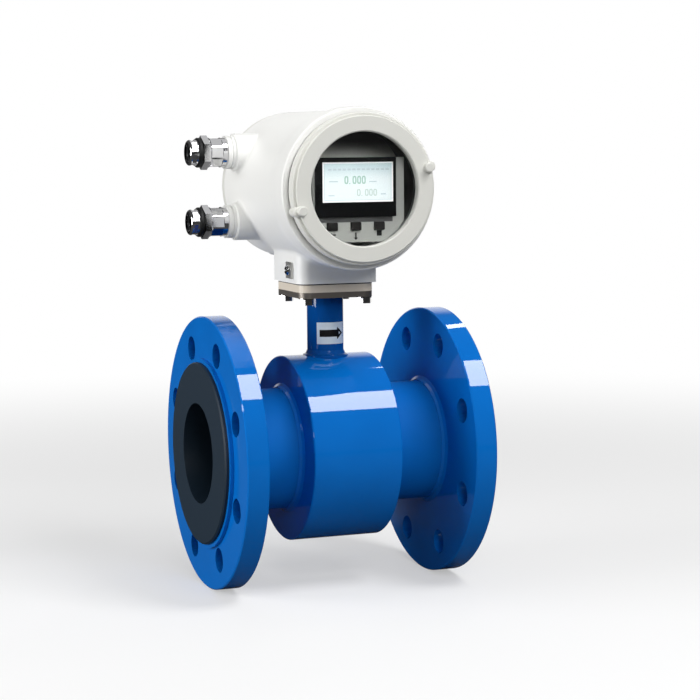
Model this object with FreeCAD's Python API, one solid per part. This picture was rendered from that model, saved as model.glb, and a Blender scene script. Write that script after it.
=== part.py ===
import FreeCAD, Part
import math
import os

# Electromagnetic flow meter for a DN80 line: a lined measuring tube between two flanges, a coil
# housing round its middle, and a two-chamber electronics head on a short neck.
# X runs along the pipe in the direction of flow, Z is up, and the display looks towards -Y.
# The origin is on the pipe's axis, halfway between the two sealing faces. All sizes are in mm.

V = FreeCAD.Vector
ORIGIN = V(0, 0, 0)
X = V(1, 0, 0)
Y = V(0, 1, 0)
Z = V(0, 0, 1)

# Clearances
weld_gap = 0.05          # between pieces that are welded, bonded or pressed together
slip_gap = 0.3           # between pieces that move past each other
thread_gap = 0.4         # radial play left between two cosmetic threads
seam_tolerance = 0.001   # how near an edge lies to the surface it is on
drill_point = 1.0        # how much deeper a hole is than its screw

# Pipe run
face_to_face = 200.0
pipe_outer_r = 44.5
pipe_wall = 4.0
liner_thick = 3.7
liner_flare_r = 66.5
liner_flare_thick = 3.0
liner_edge_r = 1.0

# Flanges
flange_r = 100.0
flange_thick = 16.3
flange_edge = 0.8
raised_face_r = 69.5
raised_face_height = 2.6
flange_bolts = 8
flange_bolt_circle_r = 80.0
flange_hole_r = 9.0
weld_leg = 3.5

# Coil housing
coil_housing_r = 68.4
coil_housing_length = 67.6
coil_housing_wall = 3.0
end_ring_thick = 4.0
coil_housing_edge = 0.7

# Magnet system
coil_to_yoke = 5.5
coil_length = 54.0
coil_width = 74.0
coil_corner_r = 9.0
core_length = 28.0
core_width = 42.0
yoke_to_housing = 5.4
yoke_thick = 2.0
yoke_length = 44.0
yoke_lead_hole_r = 7.0
yoke_electrode_hole_r = 11.0

# Electrodes, on the Y axis
electrode_head_r = 5.0
electrode_head_thick = 2.5
electrode_recess = 0.25
electrode_stem_r = 2.5
electrode_stem_stand = 9.5
bush_r = 6.0
bush_collar_r = 9.0
bush_collar_thick = 2.4
electrode_nut_flats = 8.0
electrode_nut_thick = 4.0

# Neck
neck_r = 13.6
neck_wall = 2.6
neck_weld_leg = 4.0
neck_plug_length = 10.0
lead_r = 3.0
lead_bend_r = 11.0
lead_rise = 27.5

# Flow arrow plate on the front of the neck, sized and placed by the neck's free length
arrow_plate_share = 0.364
arrow_plate_place = 0.381
arrow_plate_half_angle = 46.0
arrow_plate_thick = 0.6

# Plates between the neck and the head
neck_flange_thick = 4.2
adapter_thick = 5.5
gasket_thick = 1.0
plate_length = 57.6
plate_width = 58.0
plate_corner_r = 8.5
base_bolt_x = 22.6
base_bolt_y = 22.0
base_bolt_r = 3.0
base_bolt_flats = 10.0
base_bolt_head = 4.0
base_bolt_grip = 10.0
base_washer_r = 5.6
base_washer_thick = 1.0

# Head casting
head_z = 192.6
barrel_r = 55.6
chamber_r = 50.0
front_face_y = -71.85
rear_face_y = 68.5
rim_r = 57.8
rim_length = 13.0
rim_blend = 24.0
rim_edge_r = 1.2
partition_front_y = -16.0
partition_thick = 4.0
partition_hole_r = 5.0
block_drop = 69.5
block_length = 62.2
block_width = 63.0
block_corner_r = 8.5
block_blend_r = 5.0
passage_r = 11.0

# Cable entries on the casting
entry_y = 36.0
entry_rise = 25.6
entry_r = 14.0
entry_face_x = -65.3
entry_blend_r = 2.0
entry_step = 1.7
entry_step_length = 6.0
entry_groove_x = -62.0
entry_groove = 0.7
entry_thread_r = 10.0

# Screw covers and their seals
seal_r = 1.2
seal_gap = 0.1
seal_circle_r = 51.8
cover_thread_length = 11.0
cover_chamfer = 1.0
cover_bore_r = 45.2
front_seat_gap = 1.6
front_cover_height = 12.4
front_skirt_r = 53.5
front_bezel_r = 51.5
bezel_step = 2.8
bezel_groove = 0.6
window_r = 40.2
window_bevel = 0.8
window_lip = 6.0
rear_seat_gap = 0.7
rear_cover_height = 7.4
rear_skirt_r = 55.2
rear_cover_thick = 5.0
rear_cover_edge = 1.5
lug_width = 7.2
lug_inner_r = 46.0
lug_outer_r = 55.8
lug_pin_r = 3.5
lug_circle_r = 49.8
lug_stand = 3.8
lug_foot = 1.5
lug_edge_r = 1.0
front_lug_angle = 17.0
rear_lug_angle = 107.0

# Window
window_gasket_thick = 1.2
window_gasket_inset = 1.0
glass_thick = 5.0
glass_r = 44.6
glass_ring_thick = 2.0
glass_ring_inner_r = 41.3

# Display and boards
fascia_y = -69.0
fascia_thick = 1.5
fascia_width = 69.2
fascia_low = -37.6
fascia_high = 22.0
fascia_r = 44.0
bezel_width = 60.8
bezel_x = -2.6
bezel_low = -19.8
bezel_high = 22.0
bezel_thick = 2.0
screen_width = 53.5
screen_x = -1.0
screen_low = -9.4
screen_high = 18.8
screen_recess = 0.6
key_width = 7.6
key_height = 5.8
key_pitch = 17.8
key_row_x = -2.3
key_centre = -26.4
key_stand = 1.4
key_travel = 0.5
key_corner_r = 0.8
switch_side = 6.0
switch_height = 3.0
board_thick = 1.6
display_board_y = -62.0
main_board_y = -40.0
board_r = 46.0
post_r = 2.5
post_x = 28.0
post_low = -24.0
post_high = 17.0
terminal_board_y = 45.6
terminal_post_x = 30.0
terminal_post_z = 22.0
terminal_block_length = 66.0
terminal_block_height = 14.0
terminal_block_depth = 13.0
terminal_step_depth = 7.8
terminal_step_top = -2.3
terminal_slot_start = 2.6
terminal_slot_depth = 3.3
terminal_slot_top = -3.5
terminal_slot_width = 4.4
terminal_count = 10
terminal_pitch = 6.2
terminal_screw_z = 2.3
terminal_screw_r = 2.2
terminal_screw_head = 1.5

# Cable glands
gland_collar_r = 11.0
gland_collar_length = 3.7
gland_edge = 1.0
gland_body_length = 13.5
gland_flat_count = 8
gland_flat_depth = 0.6
gland_hex_flats = 22.0
gland_hex_length = 4.9
gland_seal_r = 11.0
gland_seal_length = 3.6
gland_seal_edge_r = 1.2
gland_nut_r = 9.6
gland_nut_length = 6.4
gland_nut_lip = 2.0
gland_nut_nose_r = 2.0
gland_nut_flat_count = 6
gland_spigot_r = 8.3
gland_thread_length = 14.0
gland_bore_r = 7.7
gland_end_gap = 0.1
cable_r = 5.0

# Earthing point on the -X face of the head's block
earth_y = -11.7
earth_height = 9.4
earth_clip_length = 14.0
earth_clip_height = 12.0
earth_clip_thick = 1.0
earth_clip_lip = 2.2
earth_screw_r = 2.5
earth_screw_head_r = 4.0
earth_screw_head = 2.6
earth_screw_slot = 1.0
earth_screw_depth = 8.0

# Places that follow from the sizes above
flange_front_x = face_to_face / 2 - liner_flare_thick - raised_face_height
raised_face_x = face_to_face / 2 - liner_flare_thick
liner_outer_r = pipe_outer_r - pipe_wall - weld_gap
bore_r = liner_outer_r - liner_thick
electrode_stem_end = pipe_outer_r + electrode_stem_stand
yoke_inner_r = coil_housing_r - coil_housing_wall - yoke_to_housing
coil_thick = yoke_inner_r - pipe_outer_r - coil_to_yoke
block_z = head_z - block_drop
gasket_z = block_z - gasket_thick
adapter_z = gasket_z - adapter_thick
neck_flange_z = adapter_z - neck_flange_thick
neck_length = neck_flange_z - coil_housing_r
arrow_plate_height = neck_length * arrow_plate_share
arrow_plate_centre_z = coil_housing_r + neck_length * arrow_plate_place
earth_z = block_z + earth_height
partition_back_y = partition_front_y + partition_thick
gland_hex_start = gland_body_length
gland_seal_start = gland_hex_start + gland_hex_length + gland_end_gap
gland_nut_start = gland_seal_start + gland_seal_length + gland_end_gap
gland_nut_end = gland_nut_start + gland_nut_length
gland_spigot_end = gland_nut_end - gland_nut_lip - slip_gap


def cylinder(radius, start, axis, length):
    return Part.makeCylinder(radius, length, start, axis)


def ring(outer, inner, start, axis, length):
    return cylinder(outer, start, axis, length).cut(cylinder(inner, start, axis, length))


def turned(profile, start=ORIGIN, axis=X):
    """Revolve a closed outline about an axis. Each corner is (distance along the axis, radius)."""
    out = Z if abs(axis.z) < 0.5 else X
    corners = [start + axis * along + out * radius for along, radius in profile]
    outline = Part.makePolygon(corners + corners[:1])
    return Part.Face(outline).revolve(start, axis, 360)


def centred_box(length, width, height, z=0.0, x=0.0, y=0.0):
    return Part.makeBox(length, width, height, V(x - length / 2, y - width / 2, z))


def edges_along(shape, direction):
    """The straight edges of a shape that run along one direction."""
    straight = [edge for edge in shape.Edges if isinstance(edge.Curve, Part.Line)]
    return [edge for edge in straight if edge.Curve.Direction.cross(direction).Length < 1e-6]


def rounded_box(length, width, height, corner_r, z=0.0):
    block = centred_box(length, width, height, z)
    return block.makeFillet(corner_r, edges_along(block, Z))


def top_edges(shape, height):
    """The edges of a shape that lie in one level plane."""
    return [edge for edge in shape.Edges if edge.BoundBox.ZMin > height - seam_tolerance]


def rim_edges(shape, radius):
    """The round edges of a turned shape that have one radius."""
    round_edges = [edge for edge in shape.Edges if isinstance(edge.Curve, Part.Circle)]
    return [edge for edge in round_edges if abs(edge.Curve.Radius - radius) < seam_tolerance]


def hexagon(flats, start, axis, length, turn=0.0):
    """A six-sided bar, measured across its flats."""
    corner_r = flats / math.sqrt(3)
    side = Z if abs(axis.z) < 0.5 else X
    across = axis.cross(side)
    corners = []
    for i in range(7):
        angle = math.radians(60 * i + turn)
        spoke = side * math.cos(angle) + across * math.sin(angle)
        corners.append(start + spoke * corner_r)
    return Part.Face(Part.makePolygon(corners)).extrude(axis * length)


def flatted(bar, radius, start, axis, length, count, depth):
    """Mill a number of equal flats round a turned bar."""
    for i in range(count):
        block = Part.makeBox(length, 2 * radius, 2 * radius, V(0, -radius, radius - depth))
        block.Placement = FreeCAD.Placement(start, FreeCAD.Rotation(X, axis)).multiply(
            FreeCAD.Placement(ORIGIN, FreeCAD.Rotation(X, 360.0 * i / count)))
        bar = bar.cut(block)
    return bar


def mirrored_x(shape):
    return shape.mirror(ORIGIN, X)


def save(node, shape):
    shape.exportStep("parts/" + node + ".step")


# ---- Pipe run ------------------------------------------------------------------------------------

def electrode_hole(radius, start, end, side):
    return cylinder(radius, Y * (side * start), Y * side, end - start)


def measuring_tube():
    start = X * -raised_face_x
    tube = ring(pipe_outer_r, pipe_outer_r - pipe_wall, start, X, 2 * raised_face_x)
    for side in (-1, 1):
        tube = tube.cut(electrode_hole(bush_r + weld_gap, bore_r, coil_housing_r, side))
    return tube


def liner():
    half = face_to_face / 2
    inner_face = half - liner_flare_thick
    tube = ring(liner_outer_r, bore_r, X * -half, X, face_to_face)
    for side in (-1, 1):
        flare = turned([
            (inner_face, bore_r),
            (half, bore_r),
            (half, liner_flare_r - liner_edge_r),
            (half - liner_edge_r, liner_flare_r),
            (inner_face, liner_flare_r),
        ], ORIGIN, X * side)
        tube = tube.fuse(flare)
        seat = bore_r + electrode_recess + electrode_head_thick + weld_gap
        tube = tube.cut(electrode_hole(electrode_head_r + weld_gap, bore_r / 2, seat, side))
        tube = tube.cut(electrode_hole(electrode_stem_r + weld_gap, bore_r, pipe_outer_r, side))
    return tube.removeSplitter()


def flange():
    """The flange on the outlet side: plate, raised face and the weld to the tube behind it."""
    fit_r = pipe_outer_r + weld_gap
    back_x = flange_front_x - flange_thick
    body = turned([
        (raised_face_x, fit_r),
        (raised_face_x, raised_face_r),
        (flange_front_x, raised_face_r),
        (flange_front_x, flange_r - flange_edge),
        (flange_front_x - flange_edge, flange_r),
        (back_x + flange_edge, flange_r),
        (back_x, flange_r - flange_edge),
        (back_x, fit_r + weld_leg),
        (back_x - weld_leg * 0.4, fit_r + weld_leg * 0.4),
        (back_x - weld_leg, fit_r + weld_leg * 0.15),
        (back_x - weld_leg, fit_r),
    ])
    for i in range(flange_bolts):
        angle = 2 * math.pi * (i + 0.5) / flange_bolts
        centre = V(back_x, flange_bolt_circle_r * math.cos(angle), flange_bolt_circle_r * math.sin(angle))
        body = body.cut(cylinder(flange_hole_r, centre, X, flange_thick))
    return body


# ---- Coil housing and magnet system --------------------------------------------------------------

def coil_housing_shell():
    half = coil_housing_length / 2
    inner_r = coil_housing_r - coil_housing_wall
    shell = turned([
        (-half, inner_r),
        (-half, coil_housing_r - coil_housing_edge),
        (-half + coil_housing_edge, coil_housing_r),
        (half - coil_housing_edge, coil_housing_r),
        (half, coil_housing_r - coil_housing_edge),
        (half, inner_r),
    ])
    return shell.cut(cylinder(neck_r + weld_gap, ORIGIN, Z, coil_housing_r * 2))


def end_ring():
    """The washer-shaped end of the coil housing, with its weld to the tube outside."""
    outer_x = coil_housing_length / 2
    fit_r = pipe_outer_r + weld_gap
    return turned([
        (outer_x - end_ring_thick, fit_r),
        (outer_x - end_ring_thick, coil_housing_r - coil_housing_wall - weld_gap),
        (outer_x, coil_housing_r - coil_housing_wall - weld_gap),
        (outer_x, fit_r + weld_leg),
        (outer_x + weld_leg * 0.4, fit_r + weld_leg * 0.4),
        (outer_x + weld_leg, fit_r + weld_leg * 0.15),
        (outer_x + weld_leg, fit_r),
    ])


def saddle(outer_r, inner_r, length, window):
    """Wrap a block that stands above the tube onto it, between two radii."""
    band = ring(outer_r, inner_r, X * -length, X, 2 * length)
    return band.common(window)


def upper_coil():
    window = rounded_box(coil_length, coil_width, coil_housing_r, coil_corner_r)
    window = window.cut(centred_box(core_length + 2 * weld_gap, core_width + 2 * weld_gap, coil_housing_r))
    return saddle(pipe_outer_r + weld_gap + coil_thick, pipe_outer_r + weld_gap, coil_length, window)


def upper_pole_core():
    window = centred_box(core_length, core_width, coil_housing_r)
    return saddle(yoke_inner_r - weld_gap, pipe_outer_r + weld_gap, core_length, window)


def magnetic_yoke():
    yoke = ring(yoke_inner_r + yoke_thick, yoke_inner_r, X * (-yoke_length / 2), X, yoke_length)
    yoke = yoke.cut(cylinder(yoke_lead_hole_r, ORIGIN, Z, coil_housing_r))
    for side in (-1, 1):
        yoke = yoke.cut(cylinder(yoke_electrode_hole_r, ORIGIN, Y * side, coil_housing_r))
    return yoke


def electrode(side):
    """Pin through the tube wall, its head lying in the liner just below the wetted surface."""
    face = bore_r + electrode_recess
    head = cylinder(electrode_head_r, Y * (side * face), Y * side, electrode_head_thick)
    stem = cylinder(electrode_stem_r, Y * (side * face), Y * side, electrode_stem_end - face)
    return head.fuse(stem).removeSplitter()


def electrode_bush(side):
    bottom = liner_outer_r + weld_gap
    top = pipe_outer_r + weld_gap
    sleeve = cylinder(bush_r, Y * (side * bottom), Y * side, top - bottom)
    collar = cylinder(bush_collar_r, Y * (side * top), Y * side, bush_collar_thick)
    hole = cylinder(electrode_stem_r + weld_gap, ORIGIN, Y * side, coil_housing_r)
    lining = cylinder(liner_outer_r + weld_gap, X * (-2 * bush_r), X, 4 * bush_r)
    return sleeve.fuse(collar).cut(hole).cut(lining)


def electrode_nuts():
    start = pipe_outer_r + weld_gap + bush_collar_thick
    nuts = []
    for side in (-1, 1):
        nut = hexagon(electrode_nut_flats, Y * (side * start), Y * side, electrode_nut_thick)
        nuts.append(nut.cut(cylinder(electrode_stem_r + weld_gap, ORIGIN, Y * side, coil_housing_r)))
    return Part.makeCompound(nuts)


# ---- Neck and plates -----------------------------------------------------------------------------

def neck_tube():
    """Tube saddled into the coil housing, with the weld bead round its foot."""
    top = adapter_z - weld_gap
    tube = cylinder(neck_r, ORIGIN, Z, top)
    bead = turned([
        (0, neck_r - neck_wall),
        (0, neck_r + neck_weld_leg),
        (coil_housing_r + neck_weld_leg * 0.05, neck_r + neck_weld_leg * 0.8),
        (coil_housing_r + neck_weld_leg * 0.3, neck_r + neck_weld_leg * 0.3),
        (coil_housing_r + neck_weld_leg, neck_r),
        (coil_housing_r + neck_weld_leg, neck_r - neck_wall),
    ], ORIGIN, Z)
    outside = cylinder(coil_housing_r + weld_gap, X * -coil_housing_r, X, 2 * coil_housing_r)
    inside = cylinder(coil_housing_r - coil_housing_wall, X * -coil_housing_r, X, 2 * coil_housing_r)
    tube = tube.cut(inside).fuse(bead.cut(outside))
    return tube.cut(cylinder(neck_r - neck_wall, ORIGIN, Z, top)).removeSplitter()


def neck_plug():
    """Sealing plug in the top of the neck, round the leads."""
    base = V(0, 0, adapter_z - weld_gap - neck_plug_length)
    return ring(neck_r - neck_wall - weld_gap, lead_r + weld_gap, base, Z, neck_plug_length)


def lead_bundle():
    """Coil and electrode leads, up the neck and forward through the partition to the main board."""
    top = lead_height()
    bottom = yoke_inner_r
    turn = top - lead_bend_r
    corner = lead_bend_r * (1 - math.sqrt(0.5))
    path = Part.Wire([
        Part.LineSegment(V(0, 0, bottom), V(0, 0, turn)).toShape(),
        Part.Arc(V(0, 0, turn), V(0, -corner, top - corner), V(0, -lead_bend_r, top)).toShape(),
        Part.LineSegment(V(0, -lead_bend_r, top), V(0, main_board_y + board_thick, top)).toShape(),
    ])
    section = Part.Wire([Part.Circle(V(0, 0, bottom), Z, lead_r).toShape()])
    return path.makePipeShell([section], True, False)


def arrow_plate():
    inner_r = neck_r + weld_gap
    low = V(0, 0, arrow_plate_centre_z - arrow_plate_height / 2)
    band = ring(inner_r + arrow_plate_thick, inner_r, low, Z, arrow_plate_height)
    reach = 2 * neck_r
    half = math.radians(arrow_plate_half_angle)
    left = V(-reach * math.sin(half), -reach * math.cos(half), low.z)
    right = V(reach * math.sin(half), -reach * math.cos(half), low.z)
    sector = Part.Face(Part.makePolygon([V(0, 0, low.z), left, right, V(0, 0, low.z)]))
    return band.common(sector.extrude(Z * arrow_plate_height))


def base_bolt_places():
    return [(x, y) for x in (-base_bolt_x, base_bolt_x) for y in (-base_bolt_y, base_bolt_y)]


def drilled_plate(z, thick, centre_r):
    plate = rounded_box(plate_length, plate_width, thick, plate_corner_r, z)
    plate = plate.cut(cylinder(centre_r, V(0, 0, z), Z, thick))
    for x, y in base_bolt_places():
        plate = plate.cut(cylinder(base_bolt_r + slip_gap, V(x, y, z), Z, thick))
    return plate


def base_bolts():
    bolts = []
    under = neck_flange_z - base_washer_thick
    for x, y in base_bolt_places():
        head = hexagon(base_bolt_flats, V(x, y, under - base_bolt_head), Z, base_bolt_head)
        shank = cylinder(base_bolt_r, V(x, y, under), Z, block_z + base_bolt_grip - under)
        bolts.append(head.fuse(shank))
    return Part.makeCompound(bolts)


def base_washers():
    low = neck_flange_z - base_washer_thick
    return Part.makeCompound([
        ring(base_washer_r, base_bolt_r + weld_gap, V(x, y, low), Z, base_washer_thick)
        for x, y in base_bolt_places()
    ])


# ---- Head casting --------------------------------------------------------------------------------

def head_point(y, radius):
    return V(0, y, head_z + radius)


def s_curve(start, end):
    """Two equal arcs, both ending level, that carry the barrel's outline out to the rim."""
    run = (end[0] - start[0]) / 2
    rise = (end[1] - start[1]) / 2
    radius = (run * run + rise * rise) / (2 * rise)
    half = math.atan2(rise, abs(run))
    along = math.copysign(radius * math.sin(half), run)
    up = radius * (1 - math.cos(half))
    middle = head_point(start[0] + run, start[1] + rise)
    first = Part.Arc(head_point(*start), head_point(start[0] + along, start[1] + up), middle)
    second = Part.Arc(middle, head_point(end[0] - along, end[1] - up), head_point(*end))
    return [first.toShape(), second.toShape()]


def barrel():
    """Outside of the round body: a plain barrel that swells into the front rim."""
    swell_end = (front_face_y + rim_length, rim_r)
    swell_start = (swell_end[0] + rim_blend, barrel_r)
    corner = rim_edge_r * (1 - math.sqrt(0.5))
    rim_edge = head_point(front_face_y + rim_edge_r, rim_r)
    edges = s_curve(swell_start, swell_end)
    edges.append(Part.LineSegment(head_point(*swell_end), rim_edge).toShape())
    edges.append(Part.Arc(
        rim_edge,
        head_point(front_face_y + corner, rim_r - corner),
        head_point(front_face_y, rim_r - rim_edge_r)).toShape())
    closing = [
        head_point(front_face_y, rim_r - rim_edge_r),
        head_point(front_face_y, 0),
        head_point(rear_face_y, 0),
        head_point(rear_face_y, barrel_r - flange_edge),
        head_point(rear_face_y - flange_edge, barrel_r),
        head_point(*swell_start),
    ]
    edges += Part.makePolygon(closing).Edges
    outline = Part.Wire(Part.sortEdges(edges)[0])
    return Part.Face(outline).revolve(V(0, 0, head_z), Y, 360)


def entry_centre(rise, x=0.0):
    return V(x, entry_y, head_z + rise)


def entry_boss(rise):
    """Boss for one cable gland, with a slimmer mouth that has a ring groove round it."""
    reach = -entry_face_x
    groove = -entry_groove_x
    mouth_r = entry_r - entry_step
    return turned([
        (barrel_r / 2, 0),
        (barrel_r / 2, entry_r),
        (reach - entry_step_length - entry_groove, entry_r),
        (reach - entry_step_length, entry_r - entry_groove),
        (reach - entry_step_length, mouth_r),
        (groove - entry_groove, mouth_r),
        (groove, mouth_r - entry_groove),
        (groove + entry_groove, mouth_r),
        (reach, mouth_r),
        (reach, 0),
    ], entry_centre(rise), -X)


def seal_groove(face_y, outward, gap):
    """Ring groove in a mouth of the casting, just deep enough for the seal under its cover."""
    depth = 2 * seal_r + 2 * seal_gap - gap
    half_width = seal_r + slip_gap
    start = V(0, face_y, head_z)
    return ring(seal_circle_r + half_width, seal_circle_r - half_width, start, Y * -outward, depth)


def blended(body, addition, radius):
    """Join a boss or the block to the barrel, and round the inside corner where they meet."""
    joined = body.fuse(addition).removeSplitter()
    seam = []
    for edge in joined.Edges:
        points = edge.discretize(7)
        on_barrel = all(abs(math.hypot(p.x, p.z - head_z) - barrel_r) < seam_tolerance for p in points)
        on_addition = all(Part.Vertex(p).distToShape(addition)[0] < seam_tolerance for p in points)
        if on_barrel and on_addition:
            seam.append(edge)
    return joined.makeFillet(radius, seam)


def lead_height():
    """Height at which the leads cross the partition."""
    return head_z - chamber_r + lead_rise


def chamber(face_y, partition_y):
    return cylinder(chamber_r, V(0, min(face_y, partition_y), head_z), Y, abs(face_y - partition_y))


def head_housing():
    """One casting: barrel, square block under it, two entry bosses, and a chamber at each end."""
    body = barrel()
    for rise in (-entry_rise, entry_rise):
        body = blended(body, entry_boss(rise), entry_blend_r)
    block = rounded_box(block_length, block_width, head_z - block_z, block_corner_r, block_z)
    body = blended(body, block, block_blend_r)
    body = body.cut(chamber(front_face_y, partition_front_y))
    body = body.cut(chamber(rear_face_y, partition_back_y))
    body = body.cut(seal_groove(front_face_y, -1, front_seat_gap))
    body = body.cut(seal_groove(rear_face_y, 1, rear_seat_gap))
    body = body.cut(cylinder(passage_r, V(0, 0, block_z), Z, lead_height() - block_z))
    body = body.cut(cylinder(partition_hole_r, V(0, partition_front_y, lead_height()), Y, partition_thick))
    for rise in (-entry_rise, entry_rise):
        depth = -entry_face_x - chamber_r / 2
        body = body.cut(cylinder(entry_thread_r, entry_centre(rise, entry_face_x), X, depth))
    for x, y in base_bolt_places():
        hole = cylinder(base_bolt_r + weld_gap, V(x, y, block_z), Z, base_bolt_grip + drill_point)
        body = body.cut(hole)
    earth = V(-block_length / 2, earth_y, earth_z)
    return body.cut(cylinder(earth_screw_r + weld_gap, earth, X, earth_screw_depth + drill_point))


# ---- Screw covers --------------------------------------------------------------------------------

def o_ring(face_y, outward, gap):
    """Seal in its groove, a hair below the shoulder of the cover that presses on it."""
    centre = V(0, face_y + outward * (gap - seal_gap - seal_r), head_z)
    return Part.makeTorus(seal_circle_r, seal_r, centre, Y)


def cover_lugs(face_y, outward, gap, top, angle):
    """Two opposed grip lugs: a shoulder across the rim of a cover, and a round pin on its face."""
    foot = gap + lug_foot
    middle = (lug_outer_r + lug_inner_r) / 2
    lugs = []
    for turn in (angle, angle + 180):
        reach = lug_outer_r - lug_inner_r
        shoulder = rounded_box(reach, lug_width, top - foot, lug_width / 2 - weld_gap)
        shoulder = shoulder.makeFillet(lug_edge_r, top_edges(shoulder, top - foot))
        shoulder.translate(V(middle, 0, foot))
        height = top + lug_stand - foot
        pin = cylinder(lug_pin_r, V(0, 0, 0), Z, height)
        pin = pin.makeFillet(lug_edge_r, top_edges(pin, height))
        pin.translate(V(lug_circle_r, 0, foot))
        lug = shoulder.fuse(pin).removeSplitter()
        lug.rotate(ORIGIN, Z, turn)
        lugs.append(lug)
    pair = Part.makeCompound(lugs)
    pair.rotate(ORIGIN, X, 90)
    if outward > 0:
        pair.rotate(ORIGIN, Z, 180)
    pair.translate(V(0, face_y, head_z))
    return pair


def front_cover():
    """Window cover: threaded neck, skirt with a turned groove under the bezel, and the opening."""
    top = front_cover_height
    neck_outer = chamber_r - thread_gap
    step = top - bezel_step
    profile = [
        (-cover_thread_length, cover_bore_r),
        (-cover_thread_length, neck_outer - cover_chamfer),
        (cover_chamfer - cover_thread_length, neck_outer),
        (front_seat_gap, neck_outer),
        (front_seat_gap, front_skirt_r - bezel_groove),
        (front_seat_gap + bezel_groove, front_skirt_r),
        (step - bezel_groove, front_skirt_r),
        (step, front_skirt_r - bezel_groove),
        (step, front_bezel_r - bezel_groove),
        (step + bezel_groove, front_bezel_r - bezel_groove),
        (step + 2 * bezel_groove, front_bezel_r),
        (top - bezel_groove, front_bezel_r),
        (top, front_bezel_r - bezel_groove),
        (top, window_r + window_bevel),
        (top - window_bevel, window_r),
        (top - window_lip, window_r),
        (top - window_lip, cover_bore_r),
    ]
    cover = turned(profile, V(0, front_face_y, head_z), -Y)
    cover = cover.fuse(cover_lugs(front_face_y, -1, front_seat_gap, top, front_lug_angle).Solids)
    return cover.cut(cylinder(cover_bore_r, V(0, front_face_y, head_z), -Y, top - window_lip))


def rear_cover():
    top = rear_cover_height
    neck_outer = chamber_r - thread_gap
    inside = top - rear_cover_thick
    profile = [
        (-cover_thread_length, cover_bore_r),
        (-cover_thread_length, neck_outer - cover_chamfer),
        (cover_chamfer - cover_thread_length, neck_outer),
        (rear_seat_gap, neck_outer),
        (rear_seat_gap, rear_skirt_r - bezel_groove),
        (rear_seat_gap + bezel_groove, rear_skirt_r),
        (top - rear_cover_edge, rear_skirt_r),
        (top, rear_skirt_r - rear_cover_edge),
        (top, 0),
        (inside, 0),
        (inside, cover_bore_r),
    ]
    cover = turned(profile, V(0, rear_face_y, head_z), Y)
    cover = cover.fuse(cover_lugs(rear_face_y, 1, rear_seat_gap, top, rear_lug_angle).Solids)
    return cover.cut(cylinder(cover_bore_r, V(0, rear_face_y, head_z), Y, inside))


def window_stack(offset, thick, outer, inner=0.0):
    """A disc or ring inside the front cover, measured down from the seat behind its bezel."""
    seat = front_cover_height - window_lip - offset
    start = V(0, front_face_y - seat, head_z)
    if inner:
        return ring(outer, inner, start, Y, thick)
    return cylinder(outer, start, Y, thick)


# ---- Display and boards --------------------------------------------------------------------------

def upright_plate(width, low, high, front, thick):
    """A flat plate across the head, its front face at one Y and its edges above the head's axis."""
    return Part.makeBox(width, thick, high - low, V(-width / 2, front, head_z + low))


def key_places():
    return [key_row_x - key_pitch, key_row_x, key_row_x + key_pitch]


def fascia_outline(front, thick):
    plate = upright_plate(fascia_width, fascia_low, fascia_high, front, thick)
    return plate.common(cylinder(fascia_r, V(0, front, head_z), Y, thick))


def key_shape(x, clear, front, thick):
    low = key_centre - key_height / 2 - clear
    high = key_centre + key_height / 2 + clear
    return upright_plate(key_width + 2 * clear, low, high, front, thick).translated(X * x)


def display_fascia():
    plate = fascia_outline(fascia_y, fascia_thick)
    for x in key_places():
        plate = plate.cut(key_shape(x, slip_gap, fascia_y, fascia_thick))
    return plate


def lcd_bezel():
    front = fascia_y - bezel_thick
    frame = upright_plate(bezel_width, bezel_low, bezel_high, front, bezel_thick)
    opening = upright_plate(screen_width, screen_low, screen_high, front, bezel_thick)
    return frame.translated(X * bezel_x).cut(opening.translated(X * screen_x))


def lcd_screen():
    thick = bezel_thick - screen_recess
    width = screen_width - 2 * weld_gap
    front = fascia_y - thick
    screen = upright_plate(width, screen_low + weld_gap, screen_high - weld_gap, front, thick)
    return screen.translated(X * screen_x)


def key_cap(x):
    front = fascia_y - key_stand
    back = display_board_y - switch_height - key_travel - slip_gap
    cap = key_shape(x, 0, front, back - front)
    return cap.makeFillet(key_corner_r, edges_along(cap, Y))


def key_switches():
    """The push switches behind the keys, on the front of the display board."""
    front = display_board_y - switch_height
    low = key_centre - switch_side / 2
    high = key_centre + switch_side / 2
    body = upright_plate(switch_side, low, high, front, switch_height)
    return Part.makeCompound([body.translated(X * x) for x in key_places()])


def display_board():
    return fascia_outline(display_board_y, board_thick)


def round_board(front):
    return cylinder(board_r, V(0, front, head_z), Y, board_thick)


def board_posts():
    """Spacers that carry the boards and the fascia from the partition."""
    spans = [
        (fascia_y + fascia_thick, display_board_y),
        (display_board_y + board_thick, main_board_y),
        (main_board_y + board_thick, partition_front_y),
    ]
    posts = []
    for x in (-post_x, post_x):
        for z in (post_low, post_high):
            for near, far in spans:
                posts.append(cylinder(post_r, V(x, near, head_z + z), Y, far - near))
    return Part.makeCompound(posts)


def terminal_posts():
    start = partition_back_y
    length = terminal_board_y - board_thick - start
    return Part.makeCompound([
        cylinder(post_r, V(x, start, head_z + z), Y, length)
        for x in (-terminal_post_x, terminal_post_x) for z in (-terminal_post_z, terminal_post_z)
    ])


def terminal_block():
    """Row of wire clamps: a stepped moulding with a wire slot under each screw."""
    half = terminal_block_height / 2
    block = upright_plate(terminal_block_length, -half, half, terminal_board_y, terminal_block_depth)
    step_y = terminal_board_y + terminal_step_depth
    step = upright_plate(terminal_block_length, -half, terminal_step_top, step_y, terminal_block_depth)
    block = block.cut(step)
    for x in terminal_places():
        slot_y = terminal_board_y + terminal_slot_start
        slot = upright_plate(terminal_slot_width, -half, terminal_slot_top, slot_y, terminal_slot_depth)
        block = block.cut(slot.translated(X * x))
    return block


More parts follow.
